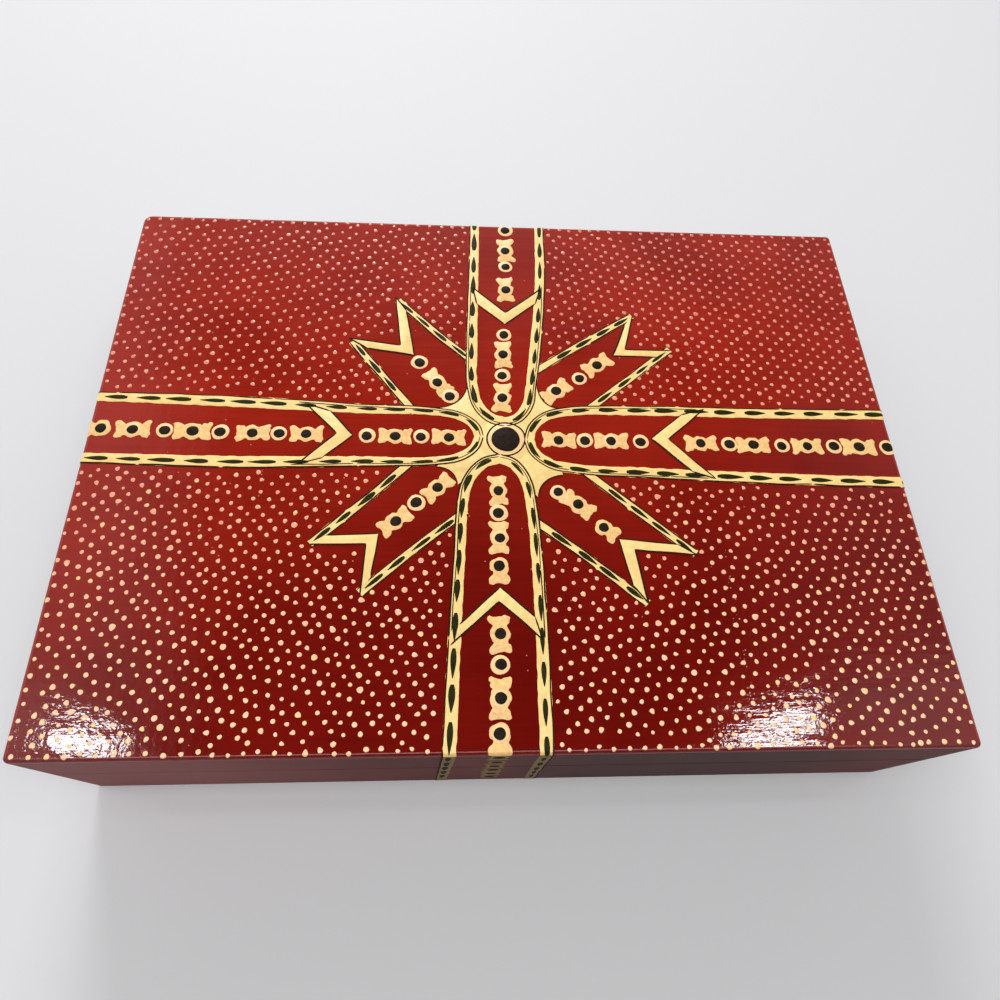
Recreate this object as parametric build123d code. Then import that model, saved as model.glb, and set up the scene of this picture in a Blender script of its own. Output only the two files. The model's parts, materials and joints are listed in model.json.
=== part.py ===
from build123d import *
import os
from math import radians, tan

# A flat wooden box with a hinged lid, in millimetres. The origin is the middle of the underside,
# +X to the right, +Y to the back where the hinges are, +Z up. The lid is modelled closed.

# Outer size
box_width = 254.0
box_depth = 187.0
base_height = 33.0  # underside to the base's rim
lid_height = 23.7  # the lid's rim to its top
seam_gap = 0.3  # between the two rims when the lid is closed

# Boards
wall_thickness = 9.5
bottom_thickness = 5.0
top_thickness = 6.0
corner_round = 1.5  # upright corners
worn_corner_round = 3.0  # the back left upright corner, rubbed rounder
top_round = 1.0
foot_round = 0.6
rim_chamfer = 0.3

# The bevels on the back edges that stop the open lid
lid_opening = 100.0  # degrees
hinge_inset = 2.4  # the hinge axis in from the back face

# Hinges
hinge_offset = 67.0  # middle of each hinge from the middle of the box
hinge_length = 25.0
knuckle_count = 5
barrel_radius = 1.5
pin_radius = 0.75
pin_overrun = 0.3  # the pin past the barrel at each end
pin_chamfer = 0.2
leaf_thickness = 0.9
leaf_reach = 5.8  # the leaf's far edge from the hinge axis
running_clearance = 0.05  # radial, pin in knuckle
turning_clearance = 0.3  # round and between knuckles
recess_clearance = 0.1  # round a leaf in its recess

# Hinge screws
screws_per_leaf = 2
screw_spacing = 15.0
screw_length = 9.0
screw_radius = 0.7
screw_head_radius = 1.4
screw_head_depth = 0.6
screw_point = 1.5
slot_width = 0.35
slot_depth = 0.25
slot_turn = 35.0  # degrees from the long side
tip_radius = 0.1  # blunt end of a screw's or nail's point
hole_clearance = 0.05  # radial, round screws and nails

# Nails
nail_radius = 0.6
nail_head_radius = 1.1
nail_head_depth = 0.5
nail_point = 1.5
corner_nail_length = 22.0
panel_nail_length = 16.0
sunk_depth = 0.8  # filler over a sunk head
flush_depth = 0.2  # an underside head below the surface
corner_nail_inset = 5.0  # from a wall's lower and upper edges
corner_nail_count = 2  # at each corner
long_nail_inset = 25.0  # end nails of the long sides from the corner
long_nail_count = 4
short_nail_inset = 45.0  # end nails of the short sides from the corner
short_nail_count = 3

# How far a cutter runs past the face it opens
overshoot = 1.0

# Worked out from the sizes above
half_width = box_width / 2
half_depth = box_depth / 2
lid_rim = base_height + seam_gap
box_height = lid_rim + lid_height
rail_top = box_height - top_thickness
inner_half_width = half_width - wall_thickness
inner_half_depth = half_depth - wall_thickness
wall_line_x = half_width - wall_thickness / 2
wall_line_y = half_depth - wall_thickness / 2
axis_y = half_depth - hinge_inset
axis_z = base_height + seam_gap / 2
bevel_angle = lid_opening / 2
sides = {"left": -hinge_offset, "right": hinge_offset}
mirror_plane = Plane.XY.offset(axis_z)


def span(x0, x1, y0, y1, z0, z1):
    """A box between two opposite corners."""
    middle = Pos((x0 + x1) / 2, (y0 + y1) / 2, (z0 + z1) / 2)
    return middle * Box(x1 - x0, y1 - y0, z1 - z0)


def spread(count, reach):
    """Evenly spaced places from -reach to +reach."""
    if count == 1:
        return [0.0]
    return [-reach + 2 * reach * i / (count - 1) for i in range(count)]


def in_worn_corner(edge):
    """The back left upright is the one that is rubbed rounder."""
    return edge.center().X < 0 < edge.center().Y


def rounded_block(z0, z1):
    """The outer shape of the base or the lid, with its upright corners rounded."""
    block = span(-half_width, half_width, -half_depth, half_depth, z0, z1)
    plain = [edge for edge in block.edges().filter_by(Axis.Z) if not in_worn_corner(edge)]
    block = fillet(plain, corner_round)
    worn = [edge for edge in block.edges().filter_by(Axis.Z) if in_worn_corner(edge)]
    return fillet(worn, worn_corner_round)


def back_bevel():
    """The wedge cut off the base's back edge. Its face clears the hinge axis by half the seam gap."""
    corner_y = axis_y - seam_gap / 2 * tan(radians(bevel_angle / 2))
    far_y = half_depth + overshoot
    low_z = base_height - (far_y - corner_y) * tan(radians(bevel_angle))
    outline = Polyline(
        (0, corner_y, base_height),
        (0, far_y, low_z),
        (0, far_y, lid_rim),
        (0, corner_y, lid_rim),
        close=True,
    )
    return extrude(make_face(outline), amount=half_width + overshoot, dir=(1, 0, 0), both=True)


def barrel_cylinder(middle_x, length, radius):
    """A cylinder on the hinge axis."""
    return Pos(middle_x, axis_y, axis_z) * Rot(0, 90, 0) * Cylinder(radius, length)


def base_block():
    block = rounded_block(0, base_height)
    block = fillet(block.faces().sort_by(Axis.Z)[0].edges(), foot_round)
    block = chamfer(block.faces().sort_by(Axis.Z)[-1].edges(), rim_chamfer)
    return block - back_bevel()


def lid_block():
    block = rounded_block(lid_rim, box_height)
    block = fillet(block.faces().sort_by(Axis.Z)[-1].edges(), top_round)
    block = chamfer(block.faces().sort_by(Axis.Z)[0].edges(), rim_chamfer)
    return block - mirror(back_bevel(), about=mirror_plane)


def leaf_recess(middle_x):
    """What the base's back board loses for one hinge: the leaf's seat and the barrel's trough."""
    reach_x = hinge_length / 2 + recess_clearance
    far_y = axis_y - leaf_reach - recess_clearance
    seat = span(
        middle_x - reach_x,
        middle_x + reach_x,
        far_y,
        axis_y,
        base_height - leaf_thickness,
        axis_z,
    )
    trough_length = hinge_length + 2 * (pin_overrun + turning_clearance)
    return seat + barrel_cylinder(middle_x, trough_length, barrel_radius + turning_clearance)


def screw_line_y():
    """The screws stand midway between the barrel's trough and the leaf's far edge."""
    return axis_y - (barrel_radius + turning_clearance + leaf_reach) / 2


def screw_places(middle_x):
    offsets = spread(screws_per_leaf, screw_spacing * (screws_per_leaf - 1) / 2)
    return [(middle_x + offset, screw_line_y()) for offset in offsets]


def screw(x, y, grow=0.0):
    """A countersunk screw driven down into the base's rim. With grow it is the hole for it."""
    shank_length = screw_length - screw_head_depth - screw_point
    head = Pos(x, y, base_height - screw_head_depth / 2) * Cone(
        screw_radius + grow, screw_head_radius + grow, screw_head_depth
    )
    shank_top = base_height - screw_head_depth
    shank = Pos(x, y, shank_top - shank_length / 2) * Cylinder(screw_radius + grow, shank_length)
    point_z = shank_top - shank_length - screw_point / 2
    point = Pos(x, y, point_z) * Cone(tip_radius + grow, screw_radius + grow, screw_point)
    body = head + shank + point
    if grow:
        return body
    slot_length = 2 * (screw_head_radius + overshoot)
    slot = Pos(x, y, base_height) * Rot(0, 0, slot_turn) * Box(slot_length, slot_width, 2 * slot_depth)
    return body - slot


def nail(length, grow=0.0):
    """A nail pointing down with the top of its head at the origin. With grow it is the hole for it."""
    head = Pos(0, 0, -nail_head_depth / 2) * Cylinder(nail_head_radius + grow, nail_head_depth + 2 * grow)
    shank_length = length - nail_point
    shank = Pos(0, 0, -shank_length / 2) * Cylinder(nail_radius + grow, shank_length)
    point_place = Pos(0, 0, -shank_length - nail_point / 2)
    point = point_place * Cone(tip_radius + grow, nail_radius + grow, nail_point)
    return head + shank + point


def corner_nails(low_z, high_z, grow=0.0):
    """Sunk nails through the front and back boards into the ends of the side boards."""
    heights = spread(corner_nail_count, (high_z - low_z) / 2 - corner_nail_inset)
    middle_z = (low_z + high_z) / 2
    nails = []
    for x in (-wall_line_x, wall_line_x):
        for height in heights:
            front = Pos(x, -half_depth + sunk_depth, middle_z + height) * Rot(90, 0, 0)
            back = Pos(x, half_depth - sunk_depth, middle_z + height) * Rot(-90, 0, 0)
            nails.append(front * nail(corner_nail_length, grow))
            nails.append(back * nail(corner_nail_length, grow))
    return nails


def panel_nail_places():
    """Plan positions of the nails that hold the top or the bottom panel, on the walls' middle lines."""
    places = []
    for x in spread(long_nail_count, half_width - long_nail_inset):
        places.append((x, -wall_line_y))
        places.append((x, wall_line_y))
    for y in spread(short_nail_count, half_depth - short_nail_inset):
        places.append((-wall_line_x, y))
        places.append((wall_line_x, y))
    return places


def bottom_nails(grow=0.0):
    upward = Rot(180, 0, 0) * nail(panel_nail_length, grow)
    return [Pos(x, y, flush_depth) * upward for x, y in panel_nail_places()]


def top_nails(grow=0.0):
    downward = nail(panel_nail_length, grow)
    return [Pos(x, y, box_height - sunk_depth) * downward for x, y in panel_nail_places()]


def bottom_nail_mouths():
    """The short openings below the underside heads."""
    mouth = Cylinder(nail_head_radius + hole_clearance, 2 * flush_depth)
    return [Pos(x, y, 0) * mouth for x, y in panel_nail_places()]


def frame_boards(block, low_z, high_z):
    """Four boards cut from a block: front and back run right across, left and right fit between them."""
    out_x = half_width + overshoot
    out_y = half_depth + overshoot
    rooms = {
        "front": span(-out_x, out_x, -out_y, -inner_half_depth, low_z, high_z),
        "back": span(-out_x, out_x, inner_half_depth, out_y, low_z, high_z),
        "left": span(-out_x, -inner_half_width, -inner_half_depth, inner_half_depth, low_z, high_z),
        "right": span(inner_half_width, out_x, -inner_half_depth, inner_half_depth, low_z, high_z),
    }
    return {name: block & room for name, room in rooms.items()}


def knuckle_spans(owner):
    """Start and end along X of each knuckle, from the hinge's middle. The outer ones are the base's."""
    pitch = hinge_length / knuckle_count
    first = 0 if owner == "base" else 1
    spans = []
    for index in range(first, knuckle_count, 2):
        start = -hinge_length / 2 + index * pitch
        start_gap = turning_clearance / 2 if index > 0 else 0
        end_gap = turning_clearance / 2 if index < knuckle_count - 1 else 0
        spans.append((start + start_gap, start + pitch - end_gap))
    return spans


def leaf(owner, middle_x):
    """A hinge leaf with its knuckles, bore and screw holes, made as the base's and mirrored for the lid."""
    plate = span(
        middle_x - hinge_length / 2,
        middle_x + hinge_length / 2,
        axis_y - leaf_reach,
        axis_y,
        base_height - leaf_thickness,
        base_height,
    )
    other = "lid" if owner == "base" else "base"
    for start, end in knuckle_spans(other):
        length = end - start + 2 * turning_clearance
        room = barrel_cylinder(middle_x + (start + end) / 2, length, barrel_radius + turning_clearance)
        plate = plate - room
    for start, end in knuckle_spans(owner):
        plate = plate + barrel_cylinder(middle_x + (start + end) / 2, end - start, barrel_radius)
    plate = plate - barrel_cylinder(middle_x, hinge_length + 2 * overshoot, pin_radius + running_clearance)
    for x, y in screw_places(middle_x):
        plate = plate - screw(x, y, hole_clearance)
    if owner == "lid":
        plate = mirror(plate, about=mirror_plane)
    return plate


def hinge_pin(middle_x):
    length = hinge_length + 2 * pin_overrun
    pin = barrel_cylinder(middle_x, length, pin_radius)
    return chamfer(pin.edges().filter_by(GeomType.CIRCLE), pin_chamfer)


def leaf_screws(owner, middle_x):
    screws = [screw(x, y) for x, y in screw_places(middle_x)]
    if owner == "lid":
        screws = [mirror(s, about=mirror_plane) for s in screws]
    return screws


def cut_all(shape, cutters):
    for cutter in cutters:
        shape = shape - cutter
    return shape


def make_base():
    block = base_block()
    boards = frame_boards(block, bottom_thickness, base_height)
    corner_holes = corner_nails(bottom_thickness, base_height, hole_clearance)
    panel_holes = bottom_nails(hole_clearance)
    boards = {name: cut_all(board, corner_holes + panel_holes) for name, board in boards.items()}
    for middle_x in sides.values():
        screw_holes = [screw(x, y, hole_clearance) for x, y in screw_places(middle_x)]
        boards["back"] = cut_all(boards["back"], [leaf_recess(middle_x)] + screw_holes)
    nodes = {"base_" + name + "_board": board for name, board in boards.items()}
    panel_room = span(-half_width, half_width, -half_depth, half_depth, 0, bottom_thickness)
    nodes["base_bottom_panel"] = cut_all(block & panel_room, panel_holes + bottom_nail_mouths())
    nodes["base_corner_nails"] = Compound(corner_nails(bottom_thickness, base_height))
    nodes["base_bottom_nails"] = Compound(bottom_nails())
    return nodes


def make_lid():
    block = lid_block()
    rails = frame_boards(block, lid_rim, rail_top)
    corner_holes = corner_nails(lid_rim, rail_top, hole_clearance)
    panel_holes = top_nails(hole_clearance)
    rails = {name: cut_all(rail, corner_holes + panel_holes) for name, rail in rails.items()}
    for middle_x in sides.values():
        recess = mirror(leaf_recess(middle_x), about=mirror_plane)
        screw_holes = [
            mirror(screw(x, y, hole_clearance), about=mirror_plane) for x, y in screw_places(middle_x)
        ]
        rails["back"] = cut_all(rails["back"], [recess] + screw_holes)
    nodes = {"lid_" + name + "_rail": rail for name, rail in rails.items()}
    panel_room = span(-half_width, half_width, -half_depth, half_depth, rail_top, box_height)
    nodes["lid_top_panel"] = cut_all(block & panel_room, panel_holes)
    nodes["lid_corner_nails"] = Compound(corner_nails(lid_rim, rail_top))
    nodes["lid_top_nails"] = Compound(top_nails())
    return nodes


def make_hinges():
    nodes = {}
    for side, middle_x in sides.items():
        for owner in ("base", "lid"):
            nodes["hinge_" + side + "_" + owner + "_leaf"] = leaf(owner, middle_x)
            nodes["hinge_" + side + "_" + owner + "_screws"] = Compound(leaf_screws(owner, middle_x))
        nodes["hinge_" + side + "_pin"] = hinge_pin(middle_x)
    return nodes


os.makedirs("parts", exist_ok=True)
for node, shape in {**make_base(), **make_lid(), **make_hinges()}.items():
    export_step(shape, "parts/" + node + ".step")
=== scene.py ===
import json
import math
import random

import bpy
from mathutils import Matrix, Vector, noise
from mathutils.geometry import interpolate_bezier, intersect_point_line


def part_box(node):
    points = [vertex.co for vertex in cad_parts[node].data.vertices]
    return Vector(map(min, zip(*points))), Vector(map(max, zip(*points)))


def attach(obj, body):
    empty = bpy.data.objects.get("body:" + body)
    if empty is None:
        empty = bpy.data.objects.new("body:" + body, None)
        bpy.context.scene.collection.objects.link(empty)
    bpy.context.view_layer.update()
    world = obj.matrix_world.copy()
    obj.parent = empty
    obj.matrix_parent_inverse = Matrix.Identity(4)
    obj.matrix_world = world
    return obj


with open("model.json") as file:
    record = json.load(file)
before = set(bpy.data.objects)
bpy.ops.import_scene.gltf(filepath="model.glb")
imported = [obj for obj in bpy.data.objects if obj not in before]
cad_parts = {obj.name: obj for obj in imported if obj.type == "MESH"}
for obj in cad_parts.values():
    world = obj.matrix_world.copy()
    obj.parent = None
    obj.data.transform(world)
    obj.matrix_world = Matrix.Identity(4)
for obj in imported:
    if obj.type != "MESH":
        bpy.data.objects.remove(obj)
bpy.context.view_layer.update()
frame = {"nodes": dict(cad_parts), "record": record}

mm = 0.001
lidLow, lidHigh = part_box("lid_top_panel")
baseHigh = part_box("base_front_board")[1]
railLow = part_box("lid_front_rail")[0]
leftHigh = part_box("base_left_board")[1]
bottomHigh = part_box("base_bottom_panel")[1]


def flatHeights(nodeName):
    # heights of the corners on the flat of a back board, which ends where its bevel begins
    corners = [vertex.co for vertex in frame["nodes"][nodeName].data.vertices]
    return [corner.z / mm for corner in corners if corner.y > lidHigh.y - 0.02 * mm]


# The closed box in millimetres: all but the rounding of its edges is read from the frame
halfWide = lidHigh.x / mm
halfDeep = lidHigh.y / mm
boxTop = lidHigh.z / mm
panelUnder = lidLow.z / mm
lidRim = railLow.z / mm
baseRim = baseHigh.z / mm
lidBevel = min(flatHeights("lid_back_rail"))
baseBevel = max(flatHeights("base_back_board"))
bottomTop = bottomHigh.z / mm
innerWide = -leftHigh.x / mm
innerDeep = leftHigh.y / mm
edgeRound = 1.0


# Small helpers for picking pieces and working in edit mode

def pickOnly(piece):
    bpy.ops.object.select_all(action="DESELECT")
    bpy.context.view_layer.objects.active = piece
    piece.select_set(True)


def editAll(piece):
    pickOnly(piece)
    bpy.ops.object.mode_set(mode="EDIT")
    bpy.ops.mesh.select_all(action="SELECT")


def endEdit():
    bpy.ops.object.mode_set(mode="OBJECT")


def cleanNormals(piece):
    editAll(piece)
    bpy.ops.mesh.remove_doubles(threshold=0.0005 * mm)
    bpy.ops.mesh.select_all(action="SELECT")
    bpy.ops.mesh.normals_make_consistent(inside=False)
    endEdit()


def setAll(thing, **settings):
    for key, value in settings.items():
        setattr(thing, key, value)
    return thing


def addObject(name, data):
    made = bpy.data.objects.new(name, data)
    bpy.context.collection.objects.link(made)
    return made


def toMesh(curve, name):
    pickOnly(addObject(name, curve))
    bpy.ops.object.convert(target="MESH")
    return bpy.context.object


# Materials: first the small tools that wire nodes together

def paintColour(red, green, blue):
    # a colour as seen on screen, 0 to 255, as the light values that a shader wants
    light = [((c / 255 + 0.055) / 1.055) ** 2.4 if c > 10 else c / 255 / 12.92 for c in (red, green, blue)]
    return (*light, 1)


def feed(socket, value):
    # wires another node's output to a socket, or sets the socket to a number, a colour or a vector
    if isinstance(value, bpy.types.NodeSocket):
        socket.id_data.links.new(value, socket)
    elif socket.type == "RGBA":
        socket.default_value = paintColour(*value)
    else:
        socket.default_value = value


def feedAll(node, inputs):
    for key, value in inputs.items():
        feed(node.inputs[key], value)
    return node


def addNode(tree, kind, inputs={}, **settings):
    return feedAll(setAll(tree.nodes.new(kind), **settings), inputs)


def doMath(operation, *values):
    # takes numbers and outputs of nodes, and works in the tree of the first output
    tree = next(value.id_data for value in values if isinstance(value, bpy.types.NodeSocket))
    inputs = dict(enumerate((*values, 0.0, 0.0)[:3]))
    return addNode(tree, "ShaderNodeMath", inputs, operation=operation).outputs[0]


def times(first, second):
    return doMath("MULTIPLY", first, second)


def timesPlus(first, second, third):
    return doMath("MULTIPLY_ADD", first, second, third)


def minus(first, second):
    return doMath("SUBTRACT", first, second)


def absolute(value):
    return doMath("ABSOLUTE", value)


def mixValues(factor, first, second):
    return addNode(factor.id_data, "ShaderNodeMix", {"Factor": factor, "A": first, "B": second}).outputs[0]


def mixColours(factor, first, second):
    inputs = {0: factor, 6: first, 7: second}
    return addNode(factor.id_data, "ShaderNodeMix", inputs, data_type="RGBA").outputs[2]


def spread(value, fromLow, fromHigh, toLow=0.0, toHigh=1.0):
    inputs = {"Value": value, "From Min": fromLow, "From Max": fromHigh, "To Min": toLow, "To Max": toHigh}
    return addNode(value.id_data, "ShaderNodeMapRange", inputs, interpolation_type="SMOOTHSTEP").outputs[0]


def placeOnBox(tree, stretch=(1, 1, 1), shift=(0, 0, 0)):
    # object coordinates in millimetres, stretched to draw a pattern out one way
    place = addNode(tree, "ShaderNodeTexCoord").outputs["Object"]
    size = tuple(s / mm for s in stretch)
    return addNode(tree, "ShaderNodeMapping", {"Vector": place, "Scale": size, "Location": shift}).outputs[0]


def placeParts(tree):
    return addNode(tree, "ShaderNodeSeparateXYZ", {"Vector": placeOnBox(tree)}).outputs


def addNoise(tree, stretch, detail=2.0, roughness=0.5, shift=(0, 0, 0)):
    place = placeOnBox(tree, stretch, shift)
    inputs = {"Vector": place, "Scale": 1.0, "Detail": detail, "Roughness": roughness}
    return addNode(tree, "ShaderNodeTexNoise", inputs).outputs[0]


def newGroup(name, inputs, output):
    # a shared pattern of nodes, with its inputs and what they are by themselves, and one output
    tree = bpy.data.node_groups.new(name, "ShaderNodeTree")
    for socketName, value in inputs.items():
        kind = "NodeSocketColor" if socketName in ("Thin", "Thick") else "NodeSocketFloat"
        tree.interface.new_socket(socketName, in_out="INPUT", socket_type=kind).default_value = value
    kind = "NodeSocketColor" if output == "Color" else "NodeSocketFloat"
    tree.interface.new_socket(output, in_out="OUTPUT", socket_type=kind)
    return tree, addNode(tree, "NodeGroupInput").outputs, addNode(tree, "NodeGroupOutput").inputs[output]


def makeBrushMarks():
    # strokes of the brush along the box and, towards its left end, across it, a slow ripple
    # and the orange peel of thick lacquer
    names = ("Streaks", "Cross", "Ripple", "Peel")
    tree, given, put = newGroup("brushMarks", dict.fromkeys(names, 0.0), "Height")
    streaks = addNoise(tree, (0.03, 0.3, 0.3), 4.0, 0.55)
    cross = addNoise(tree, (0.36, 0.1, 0.1))
    ripple = addNoise(tree, (0.05, 0.08, 0.08), 1.0)
    peel = addNoise(tree, (0.8, 0.8, 0.8))
    leftEnd = spread(placeParts(tree)["X"], -20.0, -70.0)
    along = times(given["Streaks"], timesPlus(leftEnd, -0.5, 1.0))
    total = timesPlus(cross, times(leftEnd, given["Cross"]), times(streaks, along))
    total = timesPlus(ripple, given["Ripple"], total)
    feed(put, timesPlus(peel, given["Peel"], total))
    return tree


def makeHandLaid():
    # a colour laid on by hand: thicker and thinner in patches and along the brush strokes
    inputs = {"Thin": (1, 1, 1, 1), "Thick": (0, 0, 0, 1), "Patch": 0.05}
    tree, given, put = newGroup("handLaid", inputs, "Color")
    inputs = {"Vector": placeOnBox(tree), "Scale": given["Patch"], "Detail": 3.0}
    patches = addNode(tree, "ShaderNodeTexNoise", inputs).outputs[0]
    strokes = addNoise(tree, (0.03, 0.9, 0.9), 3.0, 0.6)
    blend = timesPlus(strokes, 0.3, times(patches, 0.8))
    feed(put, mixColours(spread(blend, 0.3, 0.8), given["Thin"], given["Thick"]))
    return tree


groups = {"brushMarks": makeBrushMarks(), "handLaid": makeHandLaid()}


def useGroup(tree, name, **values):
    return addNode(tree, "ShaderNodeGroup", values, node_tree=groups[name]).outputs[0]


def layHand(tree, shades, patch):
    return useGroup(tree, "handLaid", Thin=shades[0], Thick=shades[1], Patch=patch)


def newMaterial(name, roughness=0.4, specular=0.5, metallic=0.0):
    material = bpy.data.materials.new(name)
    material.use_nodes = True
    tree = material.node_tree
    shader = tree.nodes["Principled BSDF"]
    feedAll(shader, {"Roughness": roughness, "Specular IOR Level": specular, "Metallic": metallic})
    return material, tree, shader


def addBrushMarks(shader, depth, **marks):
    # relief of the brush, as deep as given in millimetres
    height = useGroup(shader.id_data, "brushMarks", **marks)
    inputs = {"Height": height, "Distance": depth * mm, "Strength": 1.0}
    feed(shader.inputs["Normal"], addNode(shader.id_data, "ShaderNodeBump", inputs).outputs[0])


# Colours are as seen on screen, and a pair is the paint where it is thin and where it is thick
lacquer = {
    "front": [(118, 15, 7), (98, 9, 4)],
    "middle": [(158, 36, 20), (132, 25, 13)],
    "side": [(104, 16, 12), (84, 10, 8)],
    # on the front face: a painted reflection, paler to the left, and a painted shade, deeper to the right
    "sidePaintedReflection": (138, 72, 68),
    "sidePaintedShade": (60, 4, 3),
    "edge": (146, 46, 38),
    # painted shade on the rounding along the front
    "edgeFrontShade": (112, 12, 8),
    "rubbed": (182, 118, 100),
    "rubWidth": 0.8,
    # pale specks of dust, partly painted glints
    "dustAndGlintSpeck": (226, 150, 130),
    "speckCells": 0.45,
    "speckSize": 0.10,
    "speckShare": 0.06,
    "gloss": 0.045,
    "sideGloss": 0.8,
    "frontPolish": 0.75,
}


def addDustAndGlintSpecks(tree):
    # scattered pale specks: dust and dried drips under the lacquer, and painted glints like the sparkle round
    # the highlights
    inputs = {"Vector": placeOnBox(tree), "Scale": lacquer["speckCells"]}
    cells = addNode(tree, "ShaderNodeTexVoronoi", inputs).outputs
    small = doMath("LESS_THAN", cells["Distance"], lacquer["speckSize"])
    pick = addNode(tree, "ShaderNodeSeparateColor", {"Color": cells["Color"]}).outputs[0]
    return times(small, doMath("LESS_THAN", pick, lacquer["speckShare"]))


def addEdgeRub(tree, height, insets):
    # how near a point is to one of the box's outer edges, broken up as rubbing does
    upright = doMath("MINIMUM", minus(boxTop, height), height)
    level = doMath("MINIMUM", doMath("MAXIMUM", *insets), upright)
    second = doMath("MAXIMUM", doMath("MINIMUM", *insets), level)
    broken = addNoise(tree, (0.35, 0.35, 0.35), 4.0, 0.65)
    rub = minus(times(broken, 1.7), doMath("DIVIDE", second, lacquer["rubWidth"]))
    return spread(rub, 0.05, 0.6)


def makeLacquer():
    material, tree, shader = newMaterial("red_lacquer")
    parts = placeParts(tree)

    # deep red towards the front and the right of the lid, brighter towards the back and the left
    drift = addNoise(tree, (0.014, 0.014, 0.014))
    place = timesPlus(drift, 60.0, timesPlus(parts["X"], -0.2, minus(parts["Y"], 30.0)))
    near, far = layHand(tree, lacquer["front"], 0.03), layHand(tree, lacquer["middle"], 0.03)
    top = mixColours(spread(place, -75.0, 25.0), near, far)
    # pale specks of dust, partly painted glints like the sparkle round the highlights
    top = mixColours(times(addDustAndGlintSpecks(tree), 0.55), top, lacquer["dustAndGlintSpeck"])

    # the sides are satin; on the front face only, painted reflection makes the red paler towards the left and
    # painted shade makes it deeper towards the right
    place = timesPlus(drift, 30.0, minus(parts["X"], 15.0))
    atFront = spread(parts["Y"], 0.5 - halfDeep, -halfDeep)
    paintedReflection = times(spread(place, -25.0, -100.0), atFront)
    side = mixColours(paintedReflection, layHand(tree, lacquer["side"], 0.05), lacquer["sidePaintedReflection"])
    deep = times(times(spread(place, -10.0, 30.0), spread(place, 118.0, 85.0)), atFront)
    side = mixColours(times(deep, 0.9), side, lacquer["sidePaintedShade"])

    # the rounding is rubbed pale at the back and the ends; along the front it is rubbed less and painted deep
    # red as painted shade
    insets = [minus(halfWide, absolute(parts["X"])), minus(halfDeep, absolute(parts["Y"]))]
    rounding = boxTop - edgeRound
    upper = spread(parts["Z"], rounding - 0.1, rounding + 0.15)
    level = spread(doMath("MINIMUM", *insets), edgeRound - 0.15, edgeRound + 0.1)
    flat = times(upper, level)
    atFront = spread(parts["Y"], 2.0 - halfDeep, 1.0 - halfDeep)
    edge = mixColours(atFront, lacquer["edge"], lacquer["edgeFrontShade"])
    colour = mixColours(flat, mixColours(upper, side, edge), top)
    rub = times(addEdgeRub(tree, parts["Z"], insets), timesPlus(atFront, -0.32, 0.4))
    feed(shader.inputs["Base Color"], mixColours(rub, colour, lacquer["rubbed"]))

    smear = addNoise(tree, (0.02, 0.05, 0.05), 3.0)
    gloss = spread(smear, 0.3, 0.8, lacquer["gloss"], lacquer["gloss"] + 0.04)
    polished = doMath("MAXIMUM", flat, times(times(upper, atFront), lacquer["frontPolish"]))
    feed(shader.inputs["Roughness"], mixValues(polished, lacquer["sideGloss"], gloss))
    addBrushMarks(shader, 0.10, Streaks=0.55, Cross=0.34, Ripple=1.5, Peel=0.22)
    return material


gold = {
    "bands": [(240, 200, 124), (252, 220, 144)],
    "beads": [(234, 182, 112), (252, 208, 138)],
    "cream": [(247, 203, 152), (252, 208, 138)],
    "dotFront": (254, 204, 160),
    "dotMiddle": (240, 158, 126),
    "dotBack": (216, 128, 108),
    "dotYellow": (250, 210, 138),
    "varnished": (112, 88, 46),
    "gloss": 0.45,
}


def dulledDown(shader, gloss):
    # paint is satin on the sides of the box; gives 0 on the flat of the lid and 1 below its rounding
    height = placeParts(shader.id_data)["Z"]
    down = spread(height, boxTop - 0.4, boxTop - edgeRound - 0.3)
    feed(shader.inputs["Roughness"], spread(down, 0.0, 1.0, gloss, lacquer["sideGloss"]))
    return down


def makeGold(name, shades, patch):
    # bright on the lid, and brown under old varnish down the sides
    material, tree, shader = newMaterial(name)
    colour = layHand(tree, shades, patch)
    down = times(dulledDown(shader, gold["gloss"]), 0.92)
    feed(shader.inputs["Base Color"], mixColours(down, colour, gold["varnished"]))
    addBrushMarks(shader, 0.05, Streaks=0.5, Ripple=0.6, Peel=0.8)
    return material


def makeDotPaint():
    # thin drops of gold: paler towards the front of the lid, pinker towards the back, some yellow
    material, tree, shader = newMaterial("gold_dot_paint", 0.1)
    depth = placeParts(tree)["Y"]
    place = timesPlus(addNoise(tree, (0.33, 0.33, 0.33), 1.0), 50.0, depth)
    colour = mixColours(spread(place, -60.0, 20.0), gold["dotFront"], gold["dotMiddle"])
    colour = mixColours(spread(place, 20.0, 90.0), colour, gold["dotBack"])
    yellow = spread(addNoise(tree, (0.3, 0.3, 0.3), 1.0, shift=(7, 3, 0)), 0.56, 0.66)
    yellow = times(yellow, spread(depth, 60.0, -60.0, 0.2, 0.75))
    feed(shader.inputs["Base Color"], mixColours(yellow, colour, gold["dotYellow"]))
    addBrushMarks(shader, 0.05, Streaks=0.2, Ripple=0.3, Peel=0.5)
    return material


def makeDarkPaint(name, thin, thick, gloss, specular):
    material, tree, shader = newMaterial(name, specular=specular)
    dulledDown(shader, gloss)
    feed(shader.inputs["Base Color"], layHand(tree, (thin, thick), 0.6))
    addBrushMarks(shader, 0.05, Streaks=0.4, Ripple=0.3, Peel=0.8)
    return material


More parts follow.
